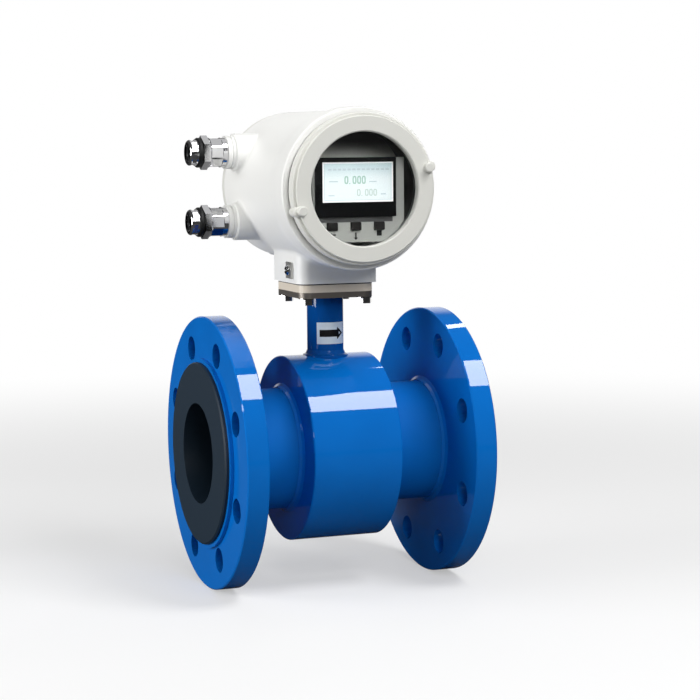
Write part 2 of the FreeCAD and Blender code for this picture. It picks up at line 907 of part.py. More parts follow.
def terminal_places():
    first = -terminal_pitch * (terminal_count - 1) / 2
    return [first + terminal_pitch * i for i in range(terminal_count)]


def terminal_screws():
    start = terminal_board_y + terminal_block_depth
    return Part.makeCompound([
        cylinder(terminal_screw_r, V(x, start, head_z + terminal_screw_z), Y, terminal_screw_head)
        for x in terminal_places()
    ])


# ---- Cable glands --------------------------------------------------------------------------------

def gland_place(rise, along):
    return entry_centre(rise, entry_face_x - along)


def gland_body(rise):
    """Metal gland: thread into the head, flatted barrel, hexagon, and the spigot for the nut."""
    body = turned([
        (-gland_thread_length, 0),
        (-gland_thread_length, entry_thread_r - weld_gap),
        (weld_gap, entry_thread_r - weld_gap),
        (weld_gap, gland_collar_r),
        (gland_hex_start - gland_edge, gland_collar_r),
        (gland_hex_start, gland_collar_r - gland_edge),
        (gland_hex_start, 0),
    ], gland_place(rise, 0), -X)
    flats_length = gland_hex_start - gland_edge - gland_collar_length
    body = flatted(body, gland_collar_r, gland_place(rise, gland_collar_length), -X, flats_length,
                   gland_flat_count, gland_flat_depth)
    body = body.fuse(hexagon(gland_hex_flats, gland_place(rise, gland_hex_start), -X, gland_hex_length))
    spigot_length = gland_spigot_end - gland_hex_start
    body = body.fuse(cylinder(gland_spigot_r, gland_place(rise, gland_hex_start), -X, spigot_length))
    start = gland_place(rise, -gland_thread_length)
    bore = cylinder(gland_bore_r - slip_gap, start, -X, gland_spigot_end + gland_thread_length)
    return body.cut(bore).removeSplitter()


def gland_grommet(rise):
    """Rubber sleeve that the nut squeezes round the cable."""
    outer_r = gland_bore_r - slip_gap - weld_gap
    return ring(outer_r, cable_r, gland_place(rise, 0), -X, gland_spigot_end)


def gland_seal(rise):
    start = gland_place(rise, gland_seal_start)
    seal = ring(gland_seal_r, gland_spigot_r + slip_gap, start, -X, gland_seal_length)
    return seal.makeFillet(gland_seal_edge_r, rim_edges(seal, gland_seal_r))


def gland_nut(rise):
    """Cap nut with a rounded nose, six flats, and a lip that presses on the grommet."""
    lip_start = gland_nut_end - gland_nut_lip
    nut = turned([
        (gland_nut_start, gland_spigot_r + slip_gap),
        (gland_nut_start, gland_nut_r),
        (gland_nut_end, gland_nut_r),
        (gland_nut_end, gland_bore_r),
        (lip_start, gland_bore_r),
        (lip_start, gland_spigot_r + slip_gap),
    ], gland_place(rise, 0), -X)
    nose = min(rim_edges(nut, gland_nut_r), key=lambda edge: edge.BoundBox.XMin)
    nut = nut.makeFillet(min(gland_nut_nose_r, 0.9 * (gland_nut_r - gland_bore_r)), [nose])
    flats_start = gland_place(rise, gland_nut_start + gland_edge)
    flats_length = gland_nut_length - gland_edge - gland_nut_nose_r
    return flatted(nut, gland_nut_r, flats_start, -X, flats_length, gland_nut_flat_count, gland_flat_depth)


# ---- Earthing point ------------------------------------------------------------------------------

def earth_clip():
    """Square clamping washer with one edge turned out, which holds the bonding wire's lug."""
    face = -block_length / 2
    corner_y = earth_y - earth_clip_length / 2
    low = earth_z - earth_clip_height / 2
    plate_corner = V(face - earth_clip_thick, corner_y, low)
    lip_corner = V(face - earth_clip_lip, corner_y, low)
    plate = Part.makeBox(earth_clip_thick, earth_clip_length, earth_clip_height, plate_corner)
    lip = Part.makeBox(earth_clip_lip, earth_clip_thick, earth_clip_height, lip_corner)
    clip = plate.fuse(lip).removeSplitter()
    return clip.cut(cylinder(earth_screw_r + weld_gap, V(face, earth_y, earth_z), -X, earth_clip_thick))


def earth_screw():
    """Slotted pan-head screw."""
    under = V(-block_length / 2 - earth_clip_thick, earth_y, earth_z)
    slot_floor = earth_screw_head / 2
    head = turned([
        (0, 0),
        (0, earth_screw_head_r),
        (slot_floor, earth_screw_head_r),
        (earth_screw_head, earth_screw_head_r - slot_floor),
        (earth_screw_head, 0),
    ], under, -X)
    shank = cylinder(earth_screw_r, under, X, earth_screw_depth)
    slot_corner = under - V(earth_screw_head, earth_screw_head_r, earth_screw_slot / 2)
    slot_depth = earth_screw_head - slot_floor
    slot = Part.makeBox(slot_depth, 2 * earth_screw_head_r, earth_screw_slot, slot_corner)
    return head.fuse(shank).cut(slot)


# ---- Write every piece ---------------------------------------------------------------------------

os.makedirs("parts", exist_ok=True)

save("measuring_tube", measuring_tube())
save("liner", liner())
outlet_flange = flange()
save("outlet_flange", outlet_flange)
save("inlet_flange", mirrored_x(outlet_flange))

save("coil_housing_shell", coil_housing_shell())
outlet_end_ring = end_ring()
save("outlet_end_ring", outlet_end_ring)
save("inlet_end_ring", mirrored_x(outlet_end_ring))
coil = upper_coil()
save("upper_coil", coil)
save("lower_coil", coil.mirror(ORIGIN, Z))
core = upper_pole_core()
save("upper_pole_core", core)
save("lower_pole_core", core.mirror(ORIGIN, Z))
save("magnetic_yoke", magnetic_yoke())
for place, side in (("front", -1), ("rear", 1)):
    save(place + "_electrode", electrode(side))
    save(place + "_electrode_bush", electrode_bush(side))
save("electrode_nuts", electrode_nuts())

save("neck_tube", neck_tube())
save("neck_plug", neck_plug())
save("lead_bundle", lead_bundle())
save("arrow_plate", arrow_plate())
save("neck_flange", drilled_plate(neck_flange_z, neck_flange_thick, neck_r + weld_gap))
save("adapter_plate", drilled_plate(adapter_z, adapter_thick, passage_r))
save("base_gasket", drilled_plate(gasket_z, gasket_thick, passage_r))
save("base_bolts", base_bolts())
save("base_washers", base_washers())

save("head_housing", head_housing())
save("front_cover_seal", o_ring(front_face_y, -1, front_seat_gap))
save("rear_cover_seal", o_ring(rear_face_y, 1, rear_seat_gap))
save("front_cover", front_cover())
save("rear_cover", rear_cover())
save("window_gasket", window_stack(0, window_gasket_thick, glass_r, window_r + window_gasket_inset))
save("window_glass", window_stack(window_gasket_thick, glass_thick, glass_r))
save("glass_retaining_ring", window_stack(window_gasket_thick + glass_thick, glass_ring_thick,
                                          cover_bore_r - weld_gap, glass_ring_inner_r))

save("display_fascia", display_fascia())
save("lcd_bezel", lcd_bezel())
save("lcd_screen", lcd_screen())
for place, x in zip(("left", "centre", "right"), key_places()):
    save(place + "_key", key_cap(x))
save("key_switches", key_switches())
save("display_board", display_board())
save("main_board", round_board(main_board_y))
save("board_posts", board_posts())
save("terminal_board", round_board(terminal_board_y - board_thick))
save("terminal_posts", terminal_posts())
save("terminal_block", terminal_block())
save("terminal_screws", terminal_screws())

for place, rise in (("upper", entry_rise), ("lower", -entry_rise)):
    save(place + "_gland_body", gland_body(rise))
    save(place + "_gland_grommet", gland_grommet(rise))
    save(place + "_gland_seal", gland_seal(rise))
    save(place + "_gland_nut", gland_nut(rise))
save("earth_clip", earth_clip())
save("earth_screw", earth_screw())
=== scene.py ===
import math

import bmesh
import bpy
import numpy as np
from mathutils import Matrix, Quaternion, Vector


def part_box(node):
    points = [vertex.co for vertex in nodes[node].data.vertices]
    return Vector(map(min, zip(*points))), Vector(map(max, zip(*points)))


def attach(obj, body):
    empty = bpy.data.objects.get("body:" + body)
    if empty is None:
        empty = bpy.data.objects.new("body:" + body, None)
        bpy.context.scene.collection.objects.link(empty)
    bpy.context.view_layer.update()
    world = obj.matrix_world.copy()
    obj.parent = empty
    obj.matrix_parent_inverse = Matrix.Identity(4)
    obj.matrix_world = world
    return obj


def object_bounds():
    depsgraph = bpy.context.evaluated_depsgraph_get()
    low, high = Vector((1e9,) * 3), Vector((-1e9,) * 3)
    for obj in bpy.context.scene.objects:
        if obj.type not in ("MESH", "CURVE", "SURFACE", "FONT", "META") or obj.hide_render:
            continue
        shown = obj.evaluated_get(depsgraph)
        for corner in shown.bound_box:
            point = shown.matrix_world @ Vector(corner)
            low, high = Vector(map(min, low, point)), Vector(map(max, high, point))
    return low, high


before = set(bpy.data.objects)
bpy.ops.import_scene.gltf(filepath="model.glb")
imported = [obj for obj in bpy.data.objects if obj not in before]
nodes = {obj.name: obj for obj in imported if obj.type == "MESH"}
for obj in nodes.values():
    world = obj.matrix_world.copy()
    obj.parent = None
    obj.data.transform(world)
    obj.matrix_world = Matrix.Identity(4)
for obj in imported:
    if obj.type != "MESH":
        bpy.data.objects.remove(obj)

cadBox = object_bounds()
mm = 0.001
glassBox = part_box("window_glass")
headZ = (glassBox[0].z + glassBox[1].z) / 2  # height of the round head's axis
print("frame loaded with", len(nodes), "nodes")


# Tools that the pieces and materials below share.

def linearColour(hexCode):
    # sRGB to linear: a channel c is c / 12.92 when dark, and otherwise ((c + 0.055) / 1.055) to the power 2.4
    channels = [int(hexCode[i:i + 2], 16) / 255 for i in (1, 3, 5)]
    linear = [c / 12.92 if c <= 0.04045 else ((c + 0.055) / 1.055) ** 2.4 for c in channels]
    return (*linear, 1.0)


def findSocket(sockets, key):
    return next(s for s in sockets if key in (s.identifier, s.name))


def addNode(tree, kind, settings=None, inputs=None):
    # one shader node with its settings; an input is a plain value, another node (its first output is linked),
    # or one output of another node
    node = tree.nodes.new("ShaderNode" + kind)
    for name, value in (settings or {}).items():
        setattr(node, name, value)
    for key, value in (inputs or {}).items():
        socket = findSocket(node.inputs, key)
        if isinstance(value, bpy.types.Node):
            value = next(s for s in value.outputs if s.enabled)
        if isinstance(value, bpy.types.NodeSocket):
            tree.links.new(value, socket)
        else:
            socket.default_value = value
    return node


def newMaterial(name):
    # an empty material, and each point's place in the frame's own coordinates
    material = bpy.data.materials.new(name)
    material.use_nodes = True
    tree = material.node_tree
    tree.nodes.clear()
    return material, tree, addNode(tree, "TexCoord").outputs["Object"]


def closeMaterial(material, tree, shader):
    addNode(tree, "OutputMaterial", None, {"Surface": shader})
    return material


def distanceFromLine(tree, place, through, along):
    # distance of a point from a line along one axis: the length of (place - through) with that axis left out
    keep = [0.0 if i == "xyz".index(along) else 1.0 for i in range(3)]
    centred = addNode(tree, "VectorMath", {"operation": "SUBTRACT"}, {
        "Vector": place, "Vector_001": through})
    flat = addNode(tree, "VectorMath", {"operation": "MULTIPLY"}, {
        "Vector": centred, "Vector_001": keep})
    return addNode(tree, "VectorMath", {"operation": "LENGTH"}, {
        "Vector": flat}).outputs["Value"]


def meshPiece(name, points, faces, body, slot, material):
    # a closed, flat-shaded mesh whose faces are turned outwards, riding on its body
    mesh = bpy.data.meshes.new(name)
    mesh.from_pydata(points.tolist(), [], faces.tolist())
    shell = bmesh.new()
    shell.from_mesh(mesh)
    bmesh.ops.recalc_face_normals(shell, faces=shell.faces)
    shell.to_mesh(mesh)
    shell.free()
    mesh.polygons.foreach_set("use_smooth", np.full(len(mesh.polygons), False))
    mesh.materials.append(material)
    piece = bpy.data.objects.new(name, mesh)
    bpy.context.scene.collection.objects.link(piece)
    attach(piece, body)


def gridFaces(rows, columns, closeRows=False, closeColumns=False):
    # quads between neighbours on a grid of rows x columns points, wrapped round on a closed side
    row, column = np.meshgrid(
        np.arange(rows if closeRows else rows - 1),
        np.arange(columns if closeColumns else columns - 1), indexing="ij")
    nextRow = (row + 1) % rows
    nextColumn = (column + 1) % columns
    corners = [row * columns + column, row * columns + nextColumn,
               nextRow * columns + nextColumn, nextRow * columns + column]
    return np.stack(corners, -1).reshape(-1, 4)


enamelLook = {
    "open": ("#0673d0", "#0567be"),  # the colour and its deeper patches, where the spray reaches freely
    # the next two colours are painted shade: deeper blue for the tube between the flanges and for the neck
    # under the head
    "tubeShade": ("#066bc1", "#055fb0"),   # a little deeper, for the shade between the flanges
    "neck": ("#08519f", "#074486"),  # deeper still, for the shade under the head
    "peelWidth": 3.0,      # mm across one dimple of the sprayed skin
    "peelDepth": 0.004,    # mm
    "driftWidth": 45.0,    # mm across a patch of thicker paint
}


def sprayedEnamel(name, coat, roughness, shine):
    # two-pack enamel sprayed on steel: an even deep blue with faint orange peel, wet and mirror-like where it
    # was sprayed openly and satin in the narrow place between the flanges, where the spray falls dry; the
    # deeper colours of the tube and the neck are painted shade, standing in for shade that the lamps of this
    # studio do not give
    look = enamelLook
    # every coat but the open one is deepened as painted shade
    colour, shade = look[coat]
    material, tree, place = newMaterial(name)
    drift = addNode(tree, "TexNoise", None, {
        "Vector": place, "Scale": 1 / (look["driftWidth"] * mm), "Detail": 2.0})
    blue = addNode(tree, "Mix", {"data_type": "RGBA"}, {
        "Factor_Float": drift, "A_Color": linearColour(colour), "B_Color": linearColour(shade)})
    peel = addNode(tree, "TexNoise", None, {
        "Vector": place, "Scale": 1 / (look["peelWidth"] * mm), "Detail": 1.0})
    relief = addNode(tree, "Bump", None, {"Height": peel, "Distance": look["peelDepth"] * mm})
    paint = addNode(tree, "BsdfPrincipled", None, {
        "Base Color": blue, "Roughness": roughness, "IOR": 1.5, "Specular IOR Level": shine,
        "Normal": relief})
    return closeMaterial(material, tree, paint)


powderLook = {
    "housing": "#efefec",
    "cover": "#dcdcd6",
    # dark grey for the walls inside the chambers: painted shade
    "chamber": "#26292b",
    "chamberR": 50.0,      # mm, radius of the two chambers bored in the head
    "shadeEdge": (0.1, 0.4),  # mm past that radius where the painted shade begins to thin and where it ends
    "grain": 0.9,          # mm across one bead of the cured powder
    "grainDepth": 0.018,   # mm
    "roughness": 0.42,
}


def powderCoat(name, hexCode, paintedShadeInside):
    # polyester powder cured on a die casting: a soft satin skin with a fine even pebble; where the last
    # argument is set, the walls inside the chambers are painted dark grey as painted shade
    look = powderLook
    material, tree, place = newMaterial(name)
    grain = addNode(tree, "TexNoise", None, {
        "Vector": place, "Scale": 1 / (look["grain"] * mm), "Detail": 2.0})
    relief = addNode(tree, "Bump", None, {"Height": grain, "Distance": look["grainDepth"] * mm})
    inputs = {"Base Color": linearColour(hexCode), "Roughness": look["roughness"], "Normal": relief}
    # inside the chambers the colour turns dark grey: painted shade
    if paintedShadeInside:
        start, end = (look["chamberR"] + past for past in look["shadeEdge"])
        inside = addNode(tree, "MapRange", None, {
            "Value": distanceFromLine(tree, place, (0, 0, headZ), "y"),
            "From Min": start * mm, "From Max": end * mm, "To Min": 1.0, "To Max": 0.0})
        inputs["Base Color"] = addNode(tree, "Mix", {"data_type": "RGBA"}, {
            "Factor_Float": inside,
            "A_Color": linearColour(hexCode), "B_Color": linearColour(look["chamber"])})
    coat = addNode(tree, "BsdfPrincipled", None, inputs)
    return closeMaterial(material, tree, coat)


grainSpread = 0.05  # share by which a fine grain lightens and darkens its colour
smearWidth = 6.0    # mm of arc over which a lathe's rings come and go


def grainedSkin(name, hexCode, roughness, grainWidth, grainDepth, metallic=0.0, shine=0.5):
    # a plain skin whose fine grain makes each point a little lighter or darker, and higher or lower, than the
    # next; widths and depths are in mm
    material, tree, place = newMaterial(name)
    grain = addNode(tree, "TexNoise", None, {
        "Vector": place, "Scale": 1 / (grainWidth * mm), "Detail": 3.0})
    tone = addNode(tree, "MapRange", None, {
        "Value": grain, "To Min": 1 - grainSpread, "To Max": 1 + grainSpread})
    colour = addNode(tree, "VectorMath", {"operation": "SCALE"}, {
        "Vector": linearColour(hexCode)[:3], "Scale": tone})
    relief = addNode(tree, "Bump", None, {"Height": grain, "Distance": grainDepth * mm})
    skin = addNode(tree, "BsdfPrincipled", None, {
        "Base Color": colour, "Roughness": roughness, "Metallic": metallic,
        "Specular IOR Level": shine, "Normal": relief})
    return closeMaterial(material, tree, skin)


def turnedSkin(name, hexCode, roughness, metallic, centre, axis, groove, depth, shine=0.5):
    # a lathe leaves fine rings round its axis: height follows a sine of the distance from the axis plus the
    # distance along it, so that end faces and round walls both show the tool's marks
    material, tree, place = newMaterial(name)
    across = distanceFromLine(tree, place, centre, axis)
    parts = addNode(tree, "SeparateXYZ", None, {"Vector": place})
    along = addNode(tree, "Math", {"operation": "ADD"}, {
        "Value": across, "Value_001": parts.outputs[axis.upper()]})
    turns = addNode(tree, "Math", {"operation": "MULTIPLY"}, {
        "Value": along, "Value_001": 2 * math.pi / (groove * mm)})
    rings = addNode(tree, "Math", {"operation": "SINE"}, {"Value": turns})
    smear = addNode(tree, "TexNoise", None, {
        "Vector": place, "Scale": 1 / (smearWidth * mm), "Detail": 2.0})
    height = addNode(tree, "Math", {"operation": "MULTIPLY"}, {
        "Value": rings, "Value_001": smear})
    relief = addNode(tree, "Bump", None, {"Height": height, "Distance": depth * mm})
    skin = addNode(tree, "BsdfPrincipled", None, {
        "Base Color": linearColour(hexCode), "Roughness": roughness, "Metallic": metallic,
        "Specular IOR Level": shine, "Normal": relief})
    return closeMaterial(material, tree, skin)


screenLook = {
    "paper": "#e4eeef",
    # deeper towards the top: painted shade
    "top": "#c6dade",
    "edge": "#ffffff",
    "edgeWidth": 1.3,      # mm of brighter backlight round the rim
    "edgeCore": 0.4,       # share of that width that is fully bright
    "roughness": 0.25,
    "glow": 0.15,
}


def backlitScreen():
    # reflective display glass over a white backlight: pale cyan, a little deeper near the top as painted
    # shade, brightest at its rim
    look = screenLook
    material, tree, place = newMaterial("backlit_display_glass")
    low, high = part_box("lcd_screen")
    middle = (low + high) / 2
    half = (high - low) / 2
    centred = addNode(tree, "VectorMath", {"operation": "SUBTRACT"}, {
        "Vector": place, "Vector_001": middle})
    folded = addNode(tree, "VectorMath", {"operation": "ABSOLUTE"}, {"Vector": centred})
    fromEdge = addNode(tree, "VectorMath", {"operation": "SUBTRACT"}, {
        "Vector": half, "Vector_001": folded})
    sides = addNode(tree, "SeparateXYZ", None, {"Vector": fromEdge})
    nearest = addNode(tree, "Math", {"operation": "MINIMUM"}, {
        "Value": sides.outputs["X"], "Value_001": sides.outputs["Z"]})
    rim = addNode(tree, "MapRange", {"interpolation_type": "SMOOTHSTEP"}, {
        "Value": nearest, "From Min": look["edgeCore"] * look["edgeWidth"] * mm,
        "From Max": look["edgeWidth"] * mm, "To Min": 1.0, "To Max": 0.0})
    level = addNode(tree, "SeparateXYZ", None, {"Vector": place})
    # a fade to the deeper colour near the top: painted shade
    fade = addNode(tree, "MapRange", {"interpolation_type": "SMOOTHSTEP"}, {
        "Value": level.outputs["Z"], "From Min": middle.z, "From Max": high.z})
    paper = addNode(tree, "Mix", {"data_type": "RGBA"}, {
        "Factor_Float": fade,
        "A_Color": linearColour(look["paper"]), "B_Color": linearColour(look["top"])})
    colour = addNode(tree, "Mix", {"data_type": "RGBA"}, {
        "Factor_Float": rim,
        "A_Color": paper, "B_Color": linearColour(look["edge"])})
    glass = addNode(tree, "BsdfPrincipled", None, {
        "Base Color": colour, "Roughness": look["roughness"],
        "Emission Color": colour, "Emission Strength": look["glow"]})
    return closeMaterial(material, tree, glass)


glassLook = {"ior": 1.45, "tint": (0.97, 0.98, 0.975, 1)}  # tint is linear, for the lamps' light alone


def toughenedGlass():
    # flat polished window glass: clear, with a thin reflection; light from the lamps passes through to what
    # is behind
    look = glassLook
    material, tree, _ = newMaterial("toughened_window_glass")
    glass = addNode(tree, "BsdfPrincipled", None, {
        "Base Color": (1, 1, 1, 1), "Roughness": 0.0, "IOR": look["ior"], "Transmission Weight": 1.0})
    clear = addNode(tree, "BsdfTransparent", None, {"Color": look["tint"]})
    ray = addNode(tree, "LightPath")
    either = addNode(tree, "MixShader", None, {
        "Fac": ray.outputs["Is Shadow Ray"], "Shader": glass, "Shader_001": clear})
    return closeMaterial(material, tree, either)


windingLook = {
    "colour": "#8a3d1a",
    "wire": 0.9,           # mm from wire to wire, drawn about twice as thick as the real one so that it shows
    "depth": 0.25,         # mm
    "roughness": 0.3,
    "metallic": 0.6,
}


def woundCopper():
    # enamelled copper wire laid side by side: a dark red-brown gloss with fine even ribs along the coil
    look = windingLook
    material, tree, place = newMaterial("enamelled_copper_winding")
    parts = addNode(tree, "SeparateXYZ", None, {"Vector": place})
    turns = addNode(tree, "Math", {"operation": "MULTIPLY"}, {
        "Value": parts.outputs["Z"], "Value_001": 2 * math.pi / (look["wire"] * mm)})
    ribs = addNode(tree, "Math", {"operation": "SINE"}, {"Value": turns})
    relief = addNode(tree, "Bump", None, {"Height": ribs, "Distance": look["depth"] * mm})
    wire = addNode(tree, "BsdfPrincipled", None, {
        "Base Color": linearColour(look["colour"]), "Roughness": look["roughness"],
        "Metallic": look["metallic"], "Normal": relief})
    return closeMaterial(material, tree, wire)


boardLook = {
    "threads": ("#14603a", "#11552f"),
    "weave": 0.8,          # mm across one square of the glass cloth
    "roughness": 0.28,
}


def circuitBoard():
    # glass-epoxy laminate under solder mask: dark green gloss with a woven cloth just showing through
    look = boardLook
    light, dark = look["threads"]
    material, tree, place = newMaterial("solder_masked_laminate")
    weave = addNode(tree, "TexChecker", None, {
        "Vector": place, "Scale": 1 / (look["weave"] * mm),
        "Color1": linearColour(light), "Color2": linearColour(dark)})
    board = addNode(tree, "BsdfPrincipled", None, {"Base Color": weave, "Roughness": look["roughness"]})
    return closeMaterial(material, tree, board)


shieldLook = {
    "light": "#f2f3ef",
    "dark": "#161818",
    "fadeLow": 20.0,       # mm above the head's axis where the light lower part ends
    "fadeHigh": 34.0,      # and where the dark upper part, painted shade, begins
    "roughness": 0.5,
    "shine": 0.3,
}


def shadedShield():
    # a plastic film shield over the main board, dark at its top and clearing smoothly to light grey behind the
    # display: a gradient of painted shade for the top of the chamber
    look = shieldLook
    material, tree, place = newMaterial("film_shield_grey_painted_shade")
    level = addNode(tree, "SeparateXYZ", None, {"Vector": place}).outputs["Z"]
    fade = addNode(tree, "MapRange", {"interpolation_type": "SMOOTHSTEP"}, {
        "Value": level,
        "From Min": headZ + look["fadeLow"] * mm, "From Max": headZ + look["fadeHigh"] * mm})
    colour = addNode(tree, "Mix", {"data_type": "RGBA"}, {
        "Factor_Float": fade,
        "A_Color": linearColour(look["light"]), "B_Color": linearColour(look["dark"])})
    film = addNode(tree, "BsdfPrincipled", None, {
        "Base Color": colour, "Roughness": look["roughness"], "Specular IOR Level": look["shine"]})
    return closeMaterial(material, tree, film)


entryLow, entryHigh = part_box("upper_gland_body")
entryY = (entryLow.y + entryHigh.y) / 2
entryRise = (entryLow.z + entryHigh.z) / 2 - headZ

# sprayed enamel: mirror-like in the open, dull between the flanges with painted shade, deeper painted shade on
# the neck
enamel = sprayedEnamel("sprayed_gloss_enamel_blue", "open", 0.035, 0.5)
satinEnamelPaintedShade = sprayedEnamel("sprayed_satin_enamel_blue_painted_shade", "tubeShade", 0.6, 0.06)
neckEnamelPaintedShade = sprayedEnamel("sprayed_gloss_enamel_blue_painted_shade", "neck", 0.05, 0.4)
# powder coat on the castings: near white on the housing with painted shade in its chambers, a greyer batch on
# the covers
housingPowder = powderCoat("powder_coated_casting_light", powderLook["housing"], True)
coverPowder = powderCoat("powder_coated_casting_grey", powderLook["cover"], False)
# stoved enamel on plate: a warm beige with a soft sheen
plateEnamel = grainedSkin("stoved_enamel_plate_beige", "#ddd2c0", 0.45, 1.2, 0.015)
# zinc plate gone dull: a brownish grey metal that blurs what it mirrors
zincPlate = grainedSkin("zinc_plated_steel", "#77716a", 0.4, 0.6, 0.01, metallic=0.7)
# cold-formed stainless steel: clear bright reflections, dark where it faces dark things
boltSteel = grainedSkin("cold_formed_stainless_steel", "#d6d6d6", 0.14, 0.5, 0.01, metallic=1.0)
# moulded hard rubber, faced on a lathe: blue-black with a faint sheen in rings
rubberLining = turnedSkin(
    "moulded_hard_rubber_lining", "#1a2a38", 0.5, 0.0, (0, 0, 0), "x", 1.1, 0.02, 0.3)
# moulded seal rubber: black and nearly matt
sealRubber = grainedSkin("moulded_seal_rubber", "#0e0f10", 0.5, 0.7, 0.02, shine=0.3)
# bright nickel on turned brass: sharp white and black bands
nickelPlate = [
    turnedSkin("bright_nickel_plated_brass_" + name, "#d9d9db", 0.07, 1.0,
               (0, entryY, headZ + rise), "x", 0.8, 0.004)
    for name, rise in (("upper", entryRise), ("lower", -entryRise))]
# bright zinc on pressed steel: pale, with soft reflections
clipZinc = grainedSkin("bright_zinc_plated_clip", "#c9c8c4", 0.3, 0.6, 0.01, metallic=0.8)
# anodised aluminium sheet: a cool pale grey, half matt
tagAluminium = grainedSkin("anodised_aluminium_tag", "#e2eef6", 0.4, 0.4, 0.006, metallic=0.3)
# moulded plastics: even colours, glossy on the frame, matt on the fascia and keys
fasciaPlastic = grainedSkin("moulded_fascia_plastic_grey", "#a0a29d", 0.5, 0.5, 0.01)
bezelPlastic = grainedSkin("moulded_bezel_plastic_black", "#08090a", 0.22, 0.8, 0.004, shine=0.3)
keyRubber = grainedSkin("moulded_key_rubber_dark", "#12100f", 0.6, 0.5, 0.01, shine=0.25)
terminalPlastic = grainedSkin("moulded_terminal_plastic_black", "#1a1c1d", 0.45, 0.6, 0.01)
# turned aluminium: grey metal with rings round the window
turnedAluminium = turnedSkin(
    "turned_anodised_aluminium", "#a9acae", 0.35, 1.0, (0, 0, headZ), "y", 0.7, 0.01)
# hidden pieces: rolled core iron, machined white insulator, extruded grey sheath
siliconIron = grainedSkin("laminated_core_iron", "#5c5a58", 0.5, 0.5, 0.02, metallic=0.8)
insulatorPlastic = grainedSkin("turned_white_insulator_plastic", "#eceae4", 0.5, 0.8, 0.01)
leadSheath = grainedSkin("extruded_lead_sheath_grey", "#4a4d50", 0.5, 0.8, 0.01)
print("materials made")


materialOf = {
    enamel: ["inlet_flange", "outlet_flange", "coil_housing_shell", "inlet_end_ring", "outlet_end_ring"],
    satinEnamelPaintedShade: ["measuring_tube"],
    neckEnamelPaintedShade: ["neck_tube"],
    housingPowder: ["head_housing"],
    coverPowder: ["front_cover", "rear_cover"],
    plateEnamel: ["adapter_plate"],
    zincPlate: ["neck_flange", "board_posts", "terminal_posts"],
    clipZinc: ["earth_clip"],
    boltSteel: ["base_bolts", "base_washers", "earth_screw", "terminal_screws", "electrode_nuts",
                "front_electrode", "rear_electrode"],
    rubberLining: ["liner"],
    sealRubber: ["base_gasket", "neck_plug", "front_cover_seal", "rear_cover_seal", "window_gasket",
                 "upper_gland_grommet", "lower_gland_grommet", "upper_gland_seal", "lower_gland_seal"],
    nickelPlate[0]: ["upper_gland_body", "upper_gland_nut"],
    nickelPlate[1]: ["lower_gland_body", "lower_gland_nut"],
    tagAluminium: ["arrow_plate"],
    fasciaPlastic: ["display_fascia"],
    bezelPlastic: ["lcd_bezel"],
    keyRubber: ["left_key", "centre_key", "right_key"],
    backlitScreen(): ["lcd_screen"],
    toughenedGlass(): ["window_glass"],
    turnedAluminium: ["glass_retaining_ring"],
    siliconIron: ["upper_pole_core", "lower_pole_core", "magnetic_yoke"],
    woundCopper(): ["upper_coil", "lower_coil"],
    insulatorPlastic: ["front_electrode_bush", "rear_electrode_bush"],
    leadSheath: ["lead_bundle"],
    circuitBoard(): ["display_board", "terminal_board"],
    # the main board's shield carries painted shade, dark at its top
    shadedShield(): ["main_board"],
    terminalPlastic: ["terminal_block", "key_switches"],
}
for material, names in materialOf.items():
    for name in names:
        nodes[name].data.materials.clear()
        nodes[name].data.materials.append(material)
print("materials put on", sum(len(names) for names in materialOf.values()), "nodes")


# Prints and marks: thin raised ink, a closed sheet each; one dark grey sheet is the bezel's painted shadow.

inkSink = -0.03   # mm that every print's foot is sunk into its ground
inkCover = 0.01   # mm that an arrowhead stands above its shaft, so that the two never share a face


def inkMaterial(name, hexCode):
    # screen-printed ink: matt and even, with a grain fine enough only to break its highlight
    return grainedSkin(name, hexCode, 0.55, 0.3, 0.003, shine=0.2)


blackInk = inkMaterial("screen_printed_black_ink", "#08090a")
# a dark grey sheet under the bezel: the bezel's painted shadow
bezelShadowInk = inkMaterial("painted_bezel_shadow_grey", "#4c4d4d")
segmentInk = inkMaterial("display_segments_grey_green", "#a9cdc0")
lowInk = inkMaterial("display_segments_pale", "#cbdcd6")
faintInk = inkMaterial("display_segments_faint", "#c6d8dc")


def outlineSamples(corners, perSide):
    # points along a closed outline of straight sides: corner + share * (next corner - corner)
    corners = np.asarray(corners, float)
    share = np.linspace(0, 1, perSide, endpoint=False)[None, :, None]
    following = np.roll(corners, -1, axis=0)
    return (corners[:, None] + share * (following - corners)[:, None]).reshape(-1, 2)


def inkBand(outer, inner, height, wrap):
    # a closed band between two outlines with matching points: its section is the four corners outer-low,
    # outer-high, inner-high, inner-low, carried round the outline; wrap places (u, v, height) in the frame
    section = [(outer, inkSink), (outer, height), (inner, height), (inner, inkSink)]
    points = np.stack([wrap(line[:, 0], line[:, 1], level) for line, level in section])
    return points.reshape(-1, 3), gridFaces(4, len(outer), closeRows=True, closeColumns=True)


def inkBar(uRange, vRange, height, wrap, steps=2):
    # a filled bar: the four corners (v low or high, level low or high) carried along u from end to end,
    # with a cap at each end
    u = np.linspace(*uRange, steps)
    low, high = vRange
    corners = [(low, inkSink), (high, inkSink), (high, height), (low, height)]
    points = np.stack([wrap(u, np.full(steps, v), level) for v, level in corners], 1)
    sides = gridFaces(steps, 4, closeColumns=True)
    return points.reshape(-1, 3), np.vstack([sides, np.arange(4), np.arange(4 * steps - 4, 4 * steps)])


def joinMeshes(parts):
    # several meshes as one: the faces of each count on from the points before it
    allPoints, allFaces = zip(*parts)
    starts = np.cumsum([0] + [len(points) for points in allPoints[:-1]])
    return np.concatenate(allPoints), np.concatenate([f + start for f, start in zip(allFaces, starts)])


